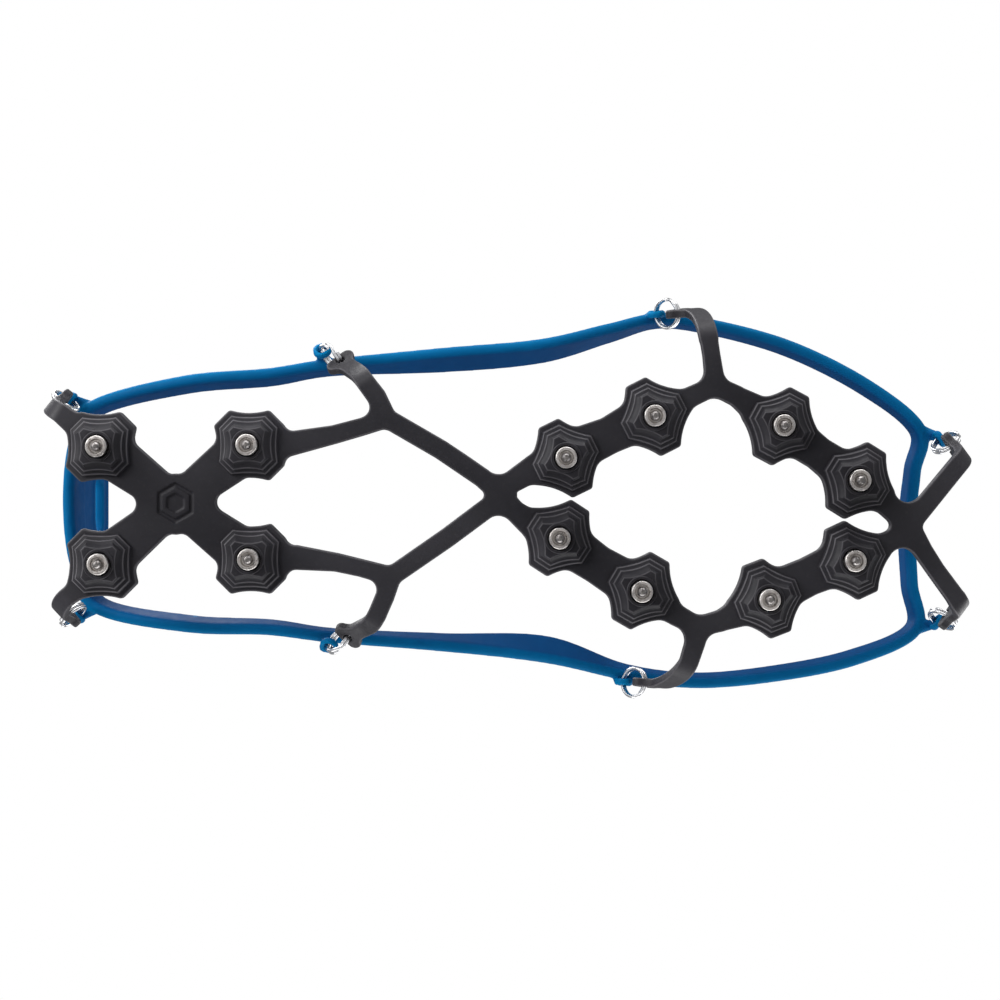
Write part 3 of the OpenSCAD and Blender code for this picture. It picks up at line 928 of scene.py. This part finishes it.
def give(obs, mat):
    for ob in obs:
        ob.data.materials.clear()
        ob.data.materials.append(mat)


give([web_ob], web_rubber())
give([harness_ob], harness_rubber())
give(stud_obs, stud_metal())
give(pin_obs, carbide())
give(ring_obs, ring_steel())

# ---------------------------------------------------------------- riding on the frame

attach(web_ob, "sole")
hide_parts("traction_matrix")
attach(harness_ob, "sole")
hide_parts("harness")
for name, body, pin in zip(AT, stud_obs, pin_obs):
    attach(body, "sole")
    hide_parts("stud_body_" + name)
    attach(pin, "sole")
    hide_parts("carbide_pin_" + name)
for arm, ob in zip(ARMS, ring_obs):
    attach(ob, "ring_" + arm.name)
    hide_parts("link_ring_" + arm.name)

# ---------------------------------------------------------------- floor, light and camera


def floor():
    """A pale floor under the stud tips, clear from below, to shadow rays and at its far edges."""
    me = bpy.data.meshes.new("floor")
    h, z = 1.1, -0.0003
    me.from_pydata([(-h, -h, z), (h, -h, z), (h, h, z), (-h, h, z)], [], [(0, 1, 2, 3)])
    ob = bpy.data.objects.new("floor", me)
    bpy.context.scene.collection.objects.link(ob)
    mat = bpy.data.materials.new("floor")
    mat.use_nodes = True
    tree = mat.node_tree
    bsdf = tree.nodes["Principled BSDF"]
    bsdf.inputs["Roughness"].default_value = 0.8
    noise = tree.nodes.new("ShaderNodeTexNoise")
    noise.inputs["Scale"].default_value = 30
    tone = tree.nodes.new("ShaderNodeMix")
    tone.data_type = "RGBA"
    tone.inputs[6].default_value = (0.80, 0.80, 0.80, 1)
    tone.inputs[7].default_value = (0.84, 0.84, 0.84, 1)
    tree.links.new(noise.outputs["Fac"], tone.inputs[0])
    tree.links.new(tone.outputs[2], bsdf.inputs["Base Color"])
    clear = tree.nodes.new("ShaderNodeBsdfTransparent")
    geo = tree.nodes.new("ShaderNodeNewGeometry")
    path = tree.nodes.new("ShaderNodeLightPath")
    either = tree.nodes.new("ShaderNodeMath")
    either.operation = "MAXIMUM"
    tree.links.new(geo.outputs["Backfacing"], either.inputs[0])
    tree.links.new(path.outputs["Is Shadow Ray"], either.inputs[1])
    coord = tree.nodes.new("ShaderNodeTexCoord")
    away = tree.nodes.new("ShaderNodeVectorMath")
    away.operation = "LENGTH"
    tree.links.new(coord.outputs["Object"], away.inputs[0])
    fade = tree.nodes.new("ShaderNodeMapRange")
    fade.interpolation_type = "SMOOTHSTEP"
    fade.inputs["From Min"].default_value = 0.35
    fade.inputs["From Max"].default_value = 1.0
    tree.links.new(away.outputs["Value"], fade.inputs["Value"])
    clearest = tree.nodes.new("ShaderNodeMath")
    clearest.operation = "MAXIMUM"
    tree.links.new(either.outputs[0], clearest.inputs[0])
    tree.links.new(fade.outputs["Result"], clearest.inputs[1])
    mix = tree.nodes.new("ShaderNodeMixShader")
    tree.links.new(clearest.outputs[0], mix.inputs[0])
    tree.links.new(bsdf.outputs[0], mix.inputs[1])
    tree.links.new(clear.outputs[0], mix.inputs[2])
    tree.links.new(mix.outputs[0], tree.nodes["Material Output"].inputs["Surface"])
    me.materials.append(mat)


def world():
    w = bpy.data.worlds.new("studio")
    bpy.context.scene.world = w
    w.use_nodes = True
    tree = w.node_tree
    tree.nodes.clear()
    seen = tree.nodes.new("ShaderNodeBackground")
    seen.inputs["Color"].default_value = (1, 1, 1, 1)
    seen.inputs["Strength"].default_value = 1.0
    cast = tree.nodes.new("ShaderNodeBackground")
    cast.inputs["Color"].default_value = (0.97, 0.98, 1.0, 1)
    path = tree.nodes.new("ShaderNodeLightPath")
    strength = tree.nodes.new("ShaderNodeMapRange")
    strength.inputs["To Min"].default_value = 0.17
    strength.inputs["To Max"].default_value = 0.34
    tree.links.new(path.outputs["Is Glossy Ray"], strength.inputs["Value"])
    tree.links.new(strength.outputs["Result"], cast.inputs["Strength"])
    mix = tree.nodes.new("ShaderNodeMixShader")
    out = tree.nodes.new("ShaderNodeOutputWorld")
    tree.links.new(path.outputs["Is Camera Ray"], mix.inputs[0])
    tree.links.new(cast.outputs[0], mix.inputs[1])
    tree.links.new(seen.outputs[0], mix.inputs[2])
    tree.links.new(mix.outputs[0], out.inputs["Surface"])


def softbox(name, at, aim, size, power):
    data = bpy.data.lights.new(name, "AREA")
    data.shape = "RECTANGLE"
    data.size, data.size_y = size
    data.energy = power
    ob = bpy.data.objects.new(name, data)
    bpy.context.scene.collection.objects.link(ob)
    ob.location = at
    ob.rotation_mode = "QUATERNION"
    ob.rotation_quaternion = (Vector(aim) - Vector(at)).to_track_quat("-Z", "Y")
    ob.visible_camera = False


floor()
world()
# Below the sole, which the camera looks up at: the key comes from the heel end, fills from the toe
softbox("key_below", (-0.66, -0.34, -0.34), (0, 0, 0), (0.42, 0.42), 5.8)
softbox("fill_below", (0.45, 0.45, -0.60), (0, 0, 0), (0.7, 0.7), 1.2)
# Low at both sides, for the light along the outer edges
softbox("rim_outer", (0.05, -0.85, 0.12), (0, 0, 0.03), (1.3, 0.3), 6)
softbox("rim_inner", (0.05, 0.85, 0.12), (0, 0, 0.03), (1.3, 0.3), 5)
# Above, for the other views
softbox("key_above", (-0.5, -0.6, 0.8), (0, 0, 0.03), (0.6, 0.6), 8)
softbox("fill_above", (0.7, 0.5, 0.6), (0, 0, 0.03), (0.7, 0.7), 4)

# The camera looks straight up at the sole; half the view's width is 157.25 mm at a distance of 480
scene = bpy.context.scene
scene.view_settings.view_transform = "Standard"
lens = bpy.data.cameras.new("camera")
lens.sensor_width = 36
lens.lens = lens.sensor_width / 2 / (157.25 / 480)
lens.clip_start = 0.01
camera = bpy.data.objects.new("camera", lens)
scene.collection.objects.link(camera)
camera.location = (-0.002, 0.0006, -0.470)
camera.rotation_euler = (math.pi, 0, 0)
scene.camera = camera
